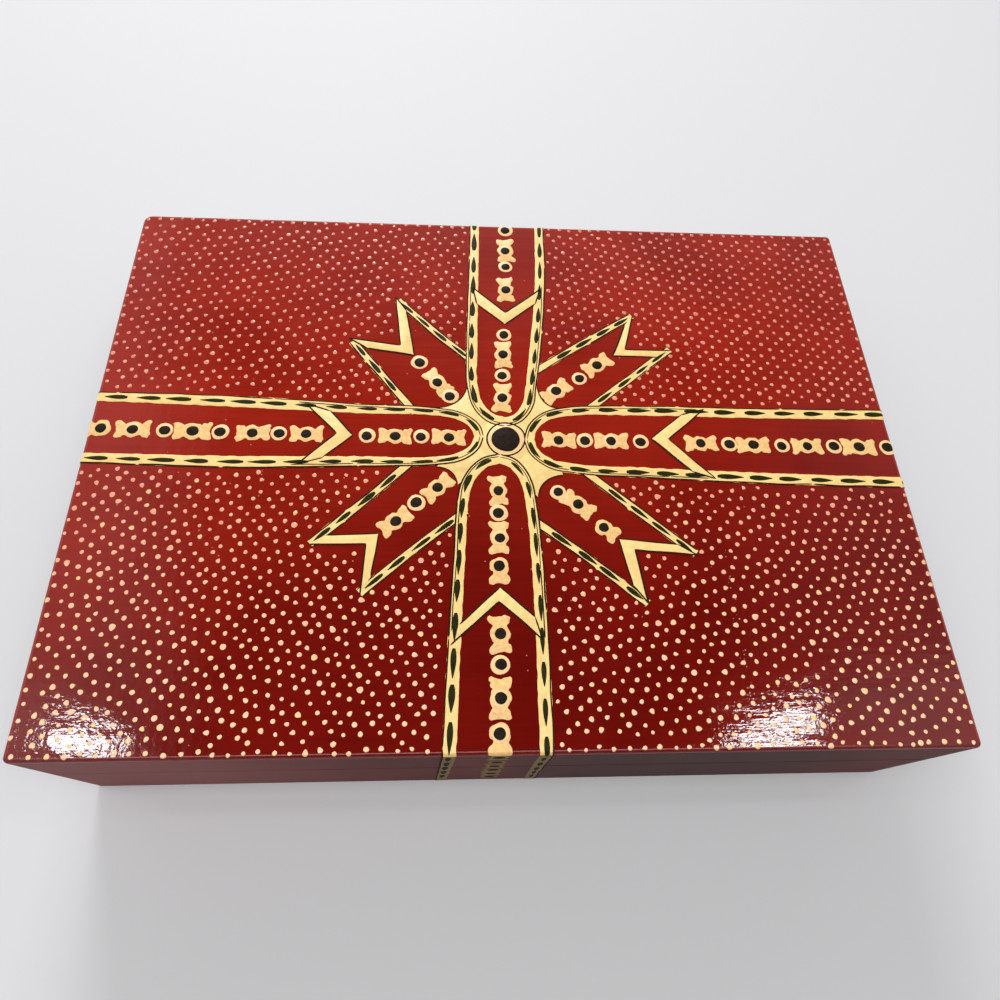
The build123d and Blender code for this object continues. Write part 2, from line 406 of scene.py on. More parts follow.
paints = {
    "lacquer": makeLacquer(),
    "gold": makeGold("gold_paint", gold["bands"], 0.5),
    "beads": makeGold("bead_paint", gold["beads"], 1.1),
    "cream": makeGold("cream_paint", gold["cream"], 0.8),
    "dots": makeDotPaint(),
    "olive": makeDarkPaint("olive_dash_paint", (46, 46, 8), (26, 26, 4), 0.45, 0.08),
    "black": makeDarkPaint("black_bead_paint", (46, 35, 27), (28, 20, 15), 0.5, 0.05),
    "pen": makeDarkPaint("dark_pen_paint", (52, 34, 12), (28, 18, 6), 0.6, 0.05),
    "chipped": makeDarkPaint("chipped_lacquer", (206, 150, 134), (150, 84, 74), 0.5, 0.4),
}
print("materials made:", len(paints))


# The painted skin: it is drawn flat, in millimetres on the plan of the lid, and then laid on the box

def foldPoint(point):
    # x and y run on past the edge of the lid, round its rounding and down the side; z is the paint's height
    halves = (halfWide, halfDeep)
    over = [abs(point[axis]) - (halves[axis] - edgeRound) for axis in (0, 1)]
    axis = 0 if over[0] > over[1] else 1
    if over[axis] <= 0:
        return Vector((point[0], point[1], boxTop + point[2]))
    radius = edgeRound
    turn = min(over[axis] / radius, math.pi / 2)
    down = over[axis] - turn * radius
    out = halves[axis] - radius + (radius + point[2]) * math.sin(turn)
    folded = Vector((point[0], point[1], boxTop - radius + (radius + point[2]) * math.cos(turn) - down))
    folded[axis] = math.copysign(out, point[axis])
    return folded


def foldOverEdges(piece, cuts):
    # cut lines across the rounding let the paint bend there
    editAll(piece)
    for axis, half in ((0, halfWide), (1, halfDeep)):
        normal = Vector((1 - axis, axis, 0))
        for side in (-1, 1):
            for cut in range(cuts + 1 if cuts else 0):
                reach = side * (half - edgeRound * (1 - math.pi / 2 * cut / cuts)) * mm
                bpy.ops.mesh.select_all(action="SELECT")
                bpy.ops.mesh.bisect(plane_co=normal * reach, plane_no=normal, threshold=1e-7)
    endEdit()
    for vertex in piece.data.vertices:
        vertex.co = foldPoint(vertex.co / mm) * mm
    piece.data.update()


# Where the paint is parted, in millimetres
parting = {
    "fromRim": 0.05,
    "foot": 0.8,
    "backDepth": 0.5,
}


def keepPart(piece, height, above, behind=-math.inf):
    # cuts the paint behind a depth level at a height, and closes it there
    mesh = piece.data
    for vertex in mesh.vertices:
        vertex.select = vertex.co.y > behind * mm
    for part in (*mesh.edges, *mesh.polygons):
        part.select = all(mesh.vertices[index].select for index in part.vertices)
    if not any(vertex.select for vertex in mesh.vertices):
        return
    pickOnly(piece)
    bpy.ops.object.mode_set(mode="EDIT")
    sides = {"clear_inner": above, "clear_outer": not above}
    bpy.ops.mesh.bisect(plane_co=(0, 0, height * mm), plane_no=(0, 0, 1), use_fill=True, **sides)
    endEdit()


def layOnBox(piece, paint, cuts=5):
    # lays a flat painted piece on the box and parts it where the lid opens
    foldOverEdges(piece, cuts)
    pieces = [(piece, "lid")]
    if min(vertex.co.z for vertex in piece.data.vertices) < baseRim * mm:
        pickOnly(piece)
        bpy.ops.object.duplicate()
        lower = bpy.context.object
        lower.name = piece.name + "_base"
        keepPart(piece, lidRim + parting["fromRim"], above=True)
        keepPart(lower, baseRim - parting["fromRim"], above=False)
        keepPart(lower, parting["foot"], above=True)
        # no paint hangs over the groove between the bevels at the back
        back = halfDeep - parting["backDepth"]
        keepPart(piece, lidBevel + parting["fromRim"], above=True, behind=back)
        keepPart(lower, baseBevel - parting["fromRim"], above=False, behind=back)
        pieces.append((lower, "base"))
    for made, body in pieces:
        pickOnly(made)
        made.data.materials.clear()
        made.data.materials.append(paints[paint])
        bpy.ops.object.shade_smooth_by_angle(angle=math.radians(45))
        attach(made, body)
        print("painted", made.name, len(made.data.polygons), "faces")


def smoothLine(points, spacing):
    # evenly spaced points on a smooth line through the given ones
    points = [Vector(p) for p in points]
    gaps = [(b - a).length for a, b in zip(points, points[1:])]
    slopes = [(b - a) / gap for a, b, gap in zip(points, points[1:], gaps)]
    turns = [slopes[0]]
    for before, after, gapBefore, gapAfter in zip(slopes, slopes[1:], gaps, gaps[1:]):
        turns.append((before * gapAfter + after * gapBefore) / (gapBefore + gapAfter))
    turns.append(slopes[-1])
    line = []
    for a, b, turnA, turnB, gap in zip(points, points[1:], turns, turns[1:], gaps):
        steps = max(1, round(gap / spacing))
        line += interpolate_bezier(a, a + turnA * gap / 3, b - turnB * gap / 3, b, steps + 1)[:-1]
    return line + [points[-1]]


def besideBand(line, side, inset, shake, seed):
    # a line in from the left (1) or right (-1) edge of a band, or along its middle (0), drawn by hand
    moved = []
    for index, point in enumerate(line):
        before, after = line[max(index - 1, 0)], line[min(index + 1, len(line) - 1)]
        along = (after.xy - before.xy).normalized()
        waver = shake * noise.noise(Vector((point.x * 0.11, point.y * 0.11, seed)))
        offset = side * (point.z / 2 - inset) + waver
        moved.append(Vector((point.x - along.y * offset, point.y + along.x * offset, 0)))
    return moved


def lengthsOf(line):
    total, lengths = 0.0, [0.0]
    for a, b in zip(line, line[1:]):
        total += (b - a).length
        lengths.append(total)
    return lengths


def stretchOf(line, start, end, count):
    # some evenly spaced points of a line between two distances along it
    lengths = lengthsOf(line)
    picked, index = [], 0
    for step in range(count):
        wanted = start + (end - start) * step / (count - 1)
        while index < len(lengths) - 2 and lengths[index + 1] < wanted:
            index += 1
        share = (wanted - lengths[index]) / (lengths[index + 1] - lengths[index])
        picked.append(line[index].lerp(line[index + 1], share))
    return picked


def paintStrokes(name, strokes, lift, thickness=0.06, sides=4):
    # each stroke is a list of (point, half width); a round tube along it is pressed flat like paint
    curve = bpy.data.curves.new(name, "CURVE")
    setAll(curve, dimensions="3D", twist_mode="Z_UP", use_fill_caps=True)
    setAll(curve, bevel_depth=mm, bevel_resolution=sides)
    for stroke in strokes:
        spline = curve.splines.new("POLY")
        spline.points.add(len(stroke) - 1)
        for made, (point, halfWidth) in zip(spline.points, stroke):
            made.co = (point[0] * mm, point[1] * mm, 0, 1)
            made.radius = halfWidth
    piece = toMesh(curve, name)
    for vertex in piece.data.vertices:
        vertex.co.z = (max(-0.03, min(thickness, vertex.co.z / mm)) + lift) * mm
    cleanNormals(piece)
    return piece


def paintShapes(name, outlines, lift, thickness=0.06, smooth=False):
    # filled patches of paint with a slightly rounded rim
    curve = bpy.data.curves.new(name, "CURVE")
    rim = thickness * mm / 3
    setAll(curve, dimensions="2D", fill_mode="BOTH", extrude=thickness * mm / 2, offset=-rim)
    setAll(curve, bevel_depth=rim, bevel_resolution=1, resolution_u=3)
    for outline in outlines:
        spline = curve.splines.new("BEZIER" if smooth else "POLY")
        places = spline.bezier_points if smooth else spline.points
        places.add(len(outline) - 1)
        for made, point in zip(places, outline):
            made.co = (point[0] * mm, point[1] * mm, 0, 1)[:len(made.co)]
            if smooth:
                setAll(made, handle_left_type="AUTO", handle_right_type="AUTO")
        spline.use_cyclic_u = True
    piece = toMesh(curve, name)
    for vertex in piece.data.vertices:
        vertex.co.z += lift * mm
    cleanNormals(piece)
    return piece


def stampCopies(name, stamps):
    # one piece made of many copies, each with its own turn, size and place
    vertices, faces = [], []
    for model, matrix in stamps:
        start = len(vertices)
        vertices += [matrix @ vertex.co for vertex in model.data.vertices]
        faces += [[start + index for index in face.vertices] for face in model.data.polygons]
    mesh = bpy.data.meshes.new(name)
    mesh.from_pydata(vertices, [], faces)
    return addObject(name, mesh)


def placeStamp(x, y, angle, lift, scale):
    turned = Matrix.Rotation(angle, 4, "Z") @ Matrix.Diagonal((*scale, 1))
    return Matrix.Translation((x * mm, y * mm, lift * mm)) @ turned


# Heights of the layers of paint above the lacquer, so that each lies on the one before
lifts = {
    "web": 0.02,
    "tail": 0.03,
    "tailPen": 0.095,
    "band": 0.06,
    "end": 0.10,
    "disc": 0.05,
    "bead": 0.03,
    "dash": 0.13,
    "pen": 0.15,
}

# The ribbon's four arms. Each station gives the distance out from the middle, the middle of the arm there,
# half the spacing of its two bands and the width of a band. Past the edge of the lid they run down the side.
# The beads are candies (c), rings (r) and candies with their outer bow only (h).
arms = {
    "left": {
        "out": (-1, 0), "side": (0, 1), "tip": (7.9, 2.2),
        "stations": [(20, 2.2, 8.8, 2.9), (45, 2.4, 9.6, 3.5), (80, 3.0, 10.8, 4.0),
                     (127, 4.1, 11.0, 3.4), (184, 4.3, 11.2, 3.4)],
        "beads": [17.4, 25.9, 34.1, 42.7, 61.3, 69.8, 77.7, 87.5, 96.0, 104.3, 113.8, 123.2],
        "kinds": "crcrcrcrcrch",
        "end": [(47.2, 2.2), (54.7, 11.0), (62.8, 13.7), (52.3, 2.7), (62.8, -8.2), (55.8, -5.9)],
    },
    "right": {
        "out": (1, 0), "side": (0, 1), "tip": (8.0, 1.3),
        "stations": [(20, 1.5, 10.3, 3.3), (45, 1.2, 11.5, 3.6), (80, 0.3, 12.1, 3.8), (127, -0.2, 12.7, 3.7),
                     (184, -0.4, 12.9, 3.6)],
        "beads": [17.5, 25.7, 34.1, 43.7, 63.2, 72.4, 80.3, 89.8, 98.0, 107.0, 115.3, 125.0],
        "kinds": "cr",
        "end": [(47.2, 2.0), (58.0, 11.2), (66.0, 13.6), (52.8, 2.0), (66.0, -12.2), (59.0, -9.7)],
    },
    "back": {
        "out": (0, 1), "side": (1, 0), "tip": (7.7, 0.6),
        "stations": [(20, -0.2, 9.4, 3.5), (40, 1.0, 10.9, 3.8), (62, 2.4, 11.7, 3.5), (93.5, 3.4, 12.0, 3.4),
                     (150, 3.6, 12.2, 3.4)],
        "beads": [17.0, 25.8, 34.3, 42.6, 62.7, 73.3, 81.1, 91.0],
        "kinds": "cr",
        "end": [(47.2, 1.3), (56.5, 12.3), (63.3, 14.5), (52.2, 1.7), (63.4, -9.4), (55.8, -8.0)],
    },
    "front": {
        "out": (0, -1), "side": (1, 0), "tip": (5.8, -1.6),
        "stations": [(20, -2.6, 10.2, 3.4), (40, -2.7, 11.4, 3.4), (65, -3.2, 12.2, 3.6),
                     (93.5, -3.9, 12.7, 3.7),
                     (150, -4.9, 14.4, 3.5)],
        "beads": [16.8, 24.4, 32.4, 41.5, 61.6, 70.1, 79.1, 88.1],
        "kinds": "crch",
        "end": [(47.8, -2.3), (56.8, 7.3), (63.2, 9.0), (52.0, -2.8), (64.5, -16.4), (58.7, -13.9)],
    },
}

# The four forked tails between the arms: two side bands, the forked end as tip, corner, tip and back again
# along its inner side, and the beads from the middle outwards
tails = {
    "back_left": {
        "bands": [[(-29.8, 12.8), (-49.5, 38.6)], [(-11.6, 33.1), (-20.5, 41.5), (-35.2, 56.6)]],
        "end": [(-50.8, 39.8), (-33.7, 37.4), (-36.0, 58.0), (-32.2, 52.0), (-29.0, 33.3), (-44.5, 35.9)],
        "beads": [("r", -17.0, 17.3), ("c", -21.2, 22.7), ("r", -27.2, 30.5)],
    },
    "back_right": {
        "bands": [[(11.8, 28.3), (23.5, 36.6), (46.0, 52.0)], [(29.3, 14.3), (39.8, 23.0), (57.6, 37.8)]],
        "end": [(46.3, 52.2), (42.3, 37.4), (58.0, 37.4), (53.0, 34.3), (37.8, 34.8), (43.2, 48.0)],
        "beads": [("c", 17.5, 19.8), ("r", 25.6, 25.0), ("c", 32.0, 30.8)],
    },
    "front_left": {
        "bands": [[(-30.3, -8.7), (-39.5, -18.0), (-57.0, -34.6)],
                  [(-14.0, -25.5), (-24.8, -34.3), (-42.0, -49.5)]],
        "end": [(-57.3, -34.8), (-41.0, -34.6), (-41.9, -50.2),
                (-39.0, -44.5), (-37.5, -31.3), (-52.5, -32.0)],
        "beads": [("c", -20.5, -16.0), ("r", -26.8, -21.3), ("c", -32.9, -27.3)],
    },
    "front_right": {
        "bands": [[(26.6, -11.6), (37.2, -21.1), (56.0, -37.6)],
                  [(10.2, -28.3), (20.7, -36.5), (40.0, -52.8)]],
        "end": [(56.5, -38.0), (37.8, -36.2), (40.3, -53.2), (36.2, -47.5), (33.2, -32.6), (51.0, -34.5)],
        "beads": [("r", 16.1, -17.4), ("c", 22.0, -21.5), ("h", 29.1, -29.0)],
    },
}


def armPlace(arm, out, across):
    return Vector((*arm["out"], 0)) * out + Vector((*arm["side"], 0)) * across


def middleAt(arm, out):
    # where the arm's middle lies at a distance out
    stations = arm["stations"]
    for first, second in zip(stations, stations[1:]):
        if out <= second[0] or second is stations[-1]:
            share = max(0, (out - first[0]) / (second[0] - first[0]))
            return first[1] + (second[1] - first[1]) * share


def halfLoop(arm, sign, spacing=1.2):
    # centre line of one band, from the tip of the loop out along one border; z carries the band's width
    first = arm["stations"][0]
    tipOut, tipAcross = arm["tip"]
    points = []
    for step in range(5):
        angle = math.radians(90 * step / 4)
        out = tipOut + (first[0] - tipOut) * (1 - math.cos(angle) ** 1.12)
        middle = tipAcross + (first[1] - tipAcross) * math.sin(angle)
        flat = armPlace(arm, out, middle + sign * first[2] * math.sin(angle))
        points.append((flat.x, flat.y, first[3]))
    for out, middle, half, width in arm["stations"][1:]:
        flat = armPlace(arm, out, middle + sign * half)
        points.append((flat.x, flat.y, width))
    return smoothLine(points, spacing)


def flatLine(line):
    return [Vector((point[0], point[1], 0)) for point in line]


def cornerArc(corner, steps):
    # a hollow curve from the first of three points to the last, bent towards the middle one
    start, bend, end = flatLine(corner)
    shares = [step / steps for step in range(steps + 1)]
    return [start.lerp(bend, share).lerp(bend.lerp(end, share), share) for share in shares]


def waveredBand(line, seed):
    # the band as a stroke whose edges waver a little
    stroke = []
    for point in line:
        waver = 0.26 * noise.noise(Vector((point.x * 0.42, point.y * 0.42, seed)))
        stroke.append((point, point.z / 2 + waver))
    return stroke


bandLines = {name: [halfLoop(arm, 1), halfLoop(arm, -1)] for name, arm in arms.items()}
loops = [first[::-1] + second[1:] for first, second in bandLines.values()]
strokes = [waveredBand(loop, index * 7.0) for index, loop in enumerate(loops)]
layOnBox(paintStrokes("ribbon_bands", strokes, lifts["band"]), "gold")

tailBand = {
    "width": 2.8,
    "tuck": 2.6,  # how far it starts under the band of the arm
    "spacing": 1.5,
}


def tailLine(band):
    start = Vector(band[0]) + (Vector(band[0]) - Vector(band[1])).normalized() * tailBand["tuck"]
    return smoothLine([(*point, tailBand["width"]) for point in (start, *band)], tailBand["spacing"])


tailLines = {name: [tailLine(band) for band in tail["bands"]] for name, tail in tails.items()}
strokes = [waveredBand(line, 3.0) for line in sum(tailLines.values(), [])]
layOnBox(paintStrokes("tail_bands", strokes, lifts["tail"]), "gold")


# The gold web between the loops, with hollow curved corners, and the round middle
web = {
    "corners": {
        ("left", 0, "back", 1): [(-22.0, 12.6), (-13.4, 12.9), (-11.6, 21.0)],
        ("right", 0, "back", 0): [(18.0, 13.2), (12.2, 13.6), (11.3, 22.0)],
        ("left", 1, "front", 1): [(-21.0, -8.8), (-15.2, -9.4), (-14.6, -15.0)],
        ("right", 1, "front", 0): [(18.0, -11.3), (10.8, -12.0), (9.9, -19.0)],
    },
    "middle": (0.5, 1.3),
    "discRadius": 8.2,
    "ringRadius": 5.9,
    "blackRadius": 4.5,
}


def webPatch(names, corner):
    armA, sideA, armB, sideB = names
    arc = cornerArc(corner, 8)
    innerA = [p for p in flatLine(bandLines[armA][sideA])[::3] if p.length < arc[0].length - 2]
    innerB = [p for p in flatLine(bandLines[armB][sideB])[::3] if p.length < arc[-1].length - 2]
    return arc + innerB[::-1] + innerA


def roundOutline(centre, radius, count, shake, seed):
    outline = []
    for step in range(count):
        angle = math.tau * step / count
        across, along = math.cos(angle), math.sin(angle)
        waver = 1 + shake * noise.noise(Vector((across, along, seed)))
        outline.append((centre[0] + radius * waver * across, centre[1] + radius * waver * along))
    return outline


webPatches = [webPatch(names, corner) for names, corner in web["corners"].items()]
layOnBox(paintShapes("ribbon_web", webPatches, lifts["web"]), "gold")
disc = roundOutline(web["middle"], web["discRadius"], 32, 0.05, 1.0)
layOnBox(paintShapes("middle_disc", [disc], lifts["disc"]), "gold")
ring = roundOutline(web["middle"], web["ringRadius"], 32, 0.06, 2.0)
layOnBox(paintShapes("middle_ring", [ring], lifts["disc"] + 0.04), "cream")
blackDisc = roundOutline(web["middle"], web["blackRadius"], 32, 0.08, 3.0)
layOnBox(paintShapes("middle_black", [blackDisc], lifts["disc"] + 0.08), "black")

# The pointed ends of the ribbon: a chevron on each arm and a fork on each tail
chevrons = [[armPlace(arm, *point) for point in arm["end"]] for arm in arms.values()]
layOnBox(paintShapes("arm_chevrons", chevrons, lifts["end"]), "gold")
forks = [tail["end"] for tail in tails.values()]
layOnBox(paintShapes("tail_forks", forks, lifts["tail"] + 0.04), "gold")


# Dashes along the middle of every band, blunt at the inner end and drawn out to a point
dash = {
    "pitch": 9.4,
    "length": 7.2,
    "bandStart": (1.0, 4.0),
    "tailStart": (1.2, 2.2),
    "halfWidths": [0.34, 0.6, 0.7, 0.7, 0.62, 0.48, 0.3, 0.1],
}


def dashesAlong(line, start, widths, short=0.0):
    # the dashes grow a little towards the edges of the lid, and some bands have thicker ones
    strokes = []
    at = hand.uniform(*start)
    end = lengthsOf(line)[-1] - short
    thick = hand.uniform(0.92, 1.2)
    while True:
        grown = 0.86 + 0.2 * min(1, at / 60)
        length = dash["length"] * grown * hand.uniform(0.86, 1.1)
        if at + length > end:
            return strokes
        size = grown * thick * hand.uniform(0.9, 1.12)
        points = stretchOf(line, at, at + length, len(widths))
        strokes.append([(point, width * size) for point, width in zip(points, widths)])
        at += dash["pitch"] * grown * hand.uniform(0.94, 1.06)


hand = random.Random(41)
dashStrokes = []
for line in sum(bandLines.values(), []):
    dashStrokes += dashesAlong(flatLine(line), dash["bandStart"], dash["halfWidths"])
for line in sum(tailLines.values(), []):
    # a tail's dashes are set out from its tip inwards
    inwards = flatLine(line)[::-1]
    dashStrokes += dashesAlong(inwards, dash["tailStart"], dash["halfWidths"][::-1], tailBand["tuck"])
layOnBox(paintStrokes("band_dashes", dashStrokes, lifts["dash"], 0.04, 2), "olive")


# Thin dark pen lines: one along the outer edge of each band and a second inside it round the loops
pen = {
    "halfWidth": 0.21,
    "outer": 0.14,
    "inner": 0.95,
    "innerReach": 62,
    "run": 34,
    "gap": 1.2,
    "shake": 0.25,
    "shortest": 6.5,
}


def penAlong(line, side, inset, seed, thick=1.0, reach=math.inf):
    strokes = []
    line = besideBand(line, side, inset, pen["shake"], seed)
    whole = min(lengthsOf(line)[-1], reach)
    at = 0.0
    while at < whole - 2:
        length = min(pen["run"] * hand.uniform(0.5, 1.4), whole - at)
        points = stretchOf(line, at, at + length, max(3, round(length / 0.9)))
        size = thick * hand.uniform(0.8, 1.25)
        strokes.append([
            (point, pen["halfWidth"] * size * (0.45 if end else 1))
            for end, point in zip([1] + [0] * (len(points) - 2) + [1], points)
        ])
        at += length + pen["gap"] * hand.uniform(0.1, 1.0)
    return strokes


penStrokes = []
for index, (armName, lines) in enumerate(bandLines.items()):
    # the outer side of a band is on its left or right, as the arm's own axes lie
    turn = Vector(arms[armName]["out"]).cross(Vector(arms[armName]["side"]))
    for line, sign in zip(lines, (1, -1)):
        seed = index * 5.0 + sign
        penStrokes += penAlong(line, turn * sign, pen["outer"], seed)
        penStrokes += penAlong(line, turn * sign, pen["inner"], seed + 2.5, 0.7, pen["innerReach"])
tailStrokes = []
for index, lines in enumerate(tailLines.values()):
    for line in lines:
        for side in (-1, 1):
            tailStrokes += penAlong(line, side, pen["outer"], index * 3.0 + side)
layOnBox(paintStrokes("tail_pen_lines", tailStrokes, lifts["tailPen"], 0.02, 1), "pen")
for outline in map(flatLine, chevrons + forks):
    for a, b in zip(outline, outline[1:] + outline[:1]):
        if (b - a).length > pen["shortest"]:
            line = [a.lerp(b, step / 12) for step in range(13)]
            penStrokes += penAlong(line, 0, 0, a.x, 1.15)
for corner in web["corners"].values():
    penStrokes += penAlong(cornerArc(corner, 12), 0, 0, corner[0][0], 0.8)
around = flatLine(roundOutline(web["middle"], web["ringRadius"] + 0.1, 40, 0.06, 2.0))
penStrokes += penAlong(around + around[:1], 0, 0, 9.0, 1.3)
layOnBox(paintStrokes("pen_lines", penStrokes, lifts["pen"], 0.02, 1), "pen")


# Beads: a black spot on a gold disc, every other one with two flared bow ends like a wrapped sweet
bead = {
    "ringRadius": 2.65,
    "paleRadius": 2.35,
    "blackRadius": 1.65,
    "bowOutline": [(0, 2.75), (1.1, 2.6), (1.95, 2.15), (2.5, 2.1), (3.1, 2.55), (4.0, 2.9), (4.9, 3.0)],
    "bowEnd": [(5.45, 2.65), (5.45, 1.7), (5.2, 0.8), (5.1, 0.0)],
    "roundEnd": [(1.5, 2.35), (2.4, 1.35), (2.7, 0.0)],
    "shake": 0.15,
}


def bowShape(name, seed, bothEnds=True):
    # the outline of a quarter is mirrored both ways, and every point shaken a little
    flared = bead["bowOutline"] + bead["bowEnd"]
    other = flared if bothEnds else bead["bowOutline"][:1] + bead["roundEnd"]
    outline = flared + [(x, -y) for x, y in flared[-2:0:-1]]
    outline += [(-x, -y) for x, y in other] + [(-x, y) for x, y in other[-2:0:-1]]
    hand = random.Random(seed)
    shaken = [(x + hand.gauss(0, bead["shake"]), y + hand.gauss(0, bead["shake"])) for x, y in outline]
    return paintShapes(name, [shaken], 0.0, 0.06, smooth=True)


def roundShape(name, radius, count, seed, shake=0.09):
    return paintShapes(name, [roundOutline((0, 0), radius, count, shake, seed)], 0.0, 0.06)


stampModels = {
    "c": [bowShape("bow_stamp", seed) for seed in (1, 2, 3, 4, 5)],
    "h": [bowShape("half_bow_stamp", 6, bothEnds=False)],
    "r": [roundShape("ring_stamp", bead["ringRadius"], 20, seed) for seed in (4.0, 5.0, 6.0)],
    "pale": [roundShape("pale_stamp", bead["paleRadius"], 20, seed) for seed in (7.0, 8.0)],
    "spot": [roundShape("spot_stamp", bead["blackRadius"], 14, seed) for seed in (9.0, 10.0, 11.0)],
}

beadPlaces = []
for arm in arms.values():
    # the beads run on down the side
    runs = list(arm["beads"])
    while runs[-1] + 13 < arm["stations"][-1][0]:
        runs.append(runs[-1] + 8.9)
    angle = math.atan2(arm["out"][1], arm["out"][0])
    for index, out in enumerate(runs):
        place = armPlace(arm, out, 0.85 * middleAt(arm, out))
        beadPlaces.append((arm["kinds"][index % len(arm["kinds"])], place.x, place.y, angle))
for tail in tails.values():
    first, last = tail["beads"][0], tail["beads"][-1]
    angle = math.atan2(last[2] - first[2], last[1] - first[1])
    beadPlaces += [(kind, x, y, angle) for kind, x, y in tail["beads"]]

hand = random.Random(7)
bows, halos, spots = [], [], []
for index, (kind, x, y, angle) in enumerate(beadPlaces):
    size = hand.uniform(0.93, 1.05)
    turn = angle + hand.uniform(-0.07, 0.07)
    low = lifts["bead"] + 0.008 * (index % 3)  # neighbours never lie at one height
    pale = kind == "r" or hand.random() < 0.3
    if kind != "r":
        bows.append((hand.choice(stampModels[kind]), placeStamp(x, y, turn, low, (size, size, 1))))
    if pale:
        model = hand.choice(stampModels["r" if kind == "r" else "pale"])
        halos.append((model, placeStamp(x, y, turn, low + 0.03, (size, size, 1))))
    offX, offY = x + hand.uniform(-0.2, 0.2), y + hand.uniform(-0.2, 0.2)
    spotScale = (size * hand.uniform(0.95, 1.12), size, 1)
    spots.append((hand.choice(stampModels["spot"]), placeStamp(offX, offY, turn, low + 0.07, spotScale)))
layOnBox(stampCopies("gold_beads", bows), "beads")
layOnBox(stampCopies("cream_halos", halos), "cream")
layOnBox(stampCopies("black_spots", spots), "black")


# The field of small gold dots, set by hand in wavy rows that differ in each quarter of the lid
dots = {
    "radius": (0.52, 0.72),
    "bigRadius": (0.72, 0.86),
    "bigShare": 0.08,
    "height": 0.09,
    "clear": 1.45,
    "closest": 2.2,
    "edgeInset": (0.9, 2.1),
    "edgePitch": (3.4, 4.5),
    "edgeEnds": (2.2, 1.5),
    "cornerRadius": 3,
    "fieldHalf": (130, 97),
    "fieldInset": 1.2,
    "rowCount": 75,
    "jitterAlong": 0.38,
    "jitterAcross": 0.15,
    "rowShift": 0.45,
    "waveSize": 1.7,
    "waveRate": 0.022,
    "waveLevels": (3.3, 8.4),
    "rows": {
        "back_left": ((-2.45, 2.95), (2.4, 2.4)),
        "back_right": ((2.88, 2.42), (-2.65, 2.15)),
        "front_left": ((2.62, 2.5), (-1.75, 2.65)),
        "front_right": ((-2.42, 2.8), (2.55, 2.1)),
    },
}


def dotStamp(name, lean, long):
    # the upper half of a low ball, drawn out to one side like a drop
    bpy.ops.object.select_all(action="DESELECT")
    bpy.ops.mesh.primitive_uv_sphere_add(segments=10, ring_count=6, radius=mm)
    piece = bpy.context.object
    piece.name = name
    editAll(piece)
    bpy.ops.mesh.bisect(plane_co=(0, 0, -0.01 * mm), plane_no=(0, 0, 1), use_fill=True, clear_inner=True)
    bpy.ops.mesh.select_all(action="SELECT")
    bpy.ops.transform.resize(value=(long, 1, 1))
    endEdit()
    for vertex in piece.data.vertices:
        vertex.co.y *= 1 - lean * vertex.co.x / mm
    return piece


def insideShape(x, y, outline):
    crossed = False
    for (ax, ay), (bx, by) in zip(outline, outline[1:] + outline[:1]):
        if (ay > y) != (by > y) and x < (bx - ax) * (y - ay) / (by - ay) + ax:
            crossed = not crossed
    return crossed


def outlineDistance(x, y, outline):
    best = 1000.0
    for a, b in zip(outline, outline[1:] + outline[:1]):
        share = min(1, max(0, intersect_point_line((x, y, 0), (*a, 0), (*b, 0))[1]))
        best = min(best, math.hypot(x - a[0] - (b[0] - a[0]) * share, y - a[1] - (b[1] - a[1]) * share))
    return best


# Regions that the dots keep out of: each arm with its bands, and each tail with its fork
keepOut = []
for arm in arms.values():
    borders = [[], []]
    for out, middle, half, width in arm["stations"][:-1]:
        for border, across in zip(borders, (half + width / 2, -half - width / 2)):
            border.append(armPlace(arm, out + (4 if out > 90 else 0), middle + across).xy[:])
    keepOut.append([(0.0, 0.0), *borders[0], *borders[1][::-1]])
for tail in tails.values():
    bandA, bandB = tail["bands"]
    keepOut.append([(0.0, 0.0), bandA[0], tail["end"][0], tail["end"][1], tail["end"][2], bandB[0]])

placedDots = {}


def dotFits(x, y):
    cell = (math.floor(x / 3), math.floor(y / 3))
    for i in (-1, 0, 1):
        for j in (-1, 0, 1):
            for otherX, otherY in placedDots.get((cell[0] + i, cell[1] + j), []):
                if math.hypot(x - otherX, y - otherY) < dots["closest"]:
                    return False
    if abs(x) > halfWide + 0.1 or abs(y) > halfDeep + 0.1:
        return False
    cornerX = abs(x) - halfWide + dots["cornerRadius"]
    cornerY = abs(y) - halfDeep + dots["cornerRadius"]
    if cornerX > 0 and cornerY > 0 and Vector((cornerX, cornerY)).length > 2.2:
        return False
    for outline in keepOut:
        if insideShape(x, y, outline) or outlineDistance(x, y, outline) < dots["clear"]:
            return False
    placedDots.setdefault(cell, []).append((x, y))
    return True


def quarterName(x, y):
    return ("back" if y > 0 else "front") + ("_left" if x < 0 else "_right")


dropShapes = ((0.05, 1.0), (0.2, 1.1), (0.32, 1.2), (0.1, 0.95))
dotModels = [dotStamp("dot_stamp", lean, long) for lean, long in dropShapes]
dotPlaces = []
hand = random.Random(2024)

# rows along the four edges of the lid first
for axis, half, reach in ((0, halfDeep, halfWide), (1, halfWide, halfDeep)):
    for side in (-1, 1):
        along = -reach + dots["edgeEnds"][0]
        while along < reach - dots["edgeEnds"][1]:
            across = side * (half - hand.uniform(*dots["edgeInset"]))
            x, y = (along, across) if axis == 0 else (across, along)
            if dotFits(x, y):
                dotPlaces.append((x, y))
            along += hand.uniform(*dots["edgePitch"])

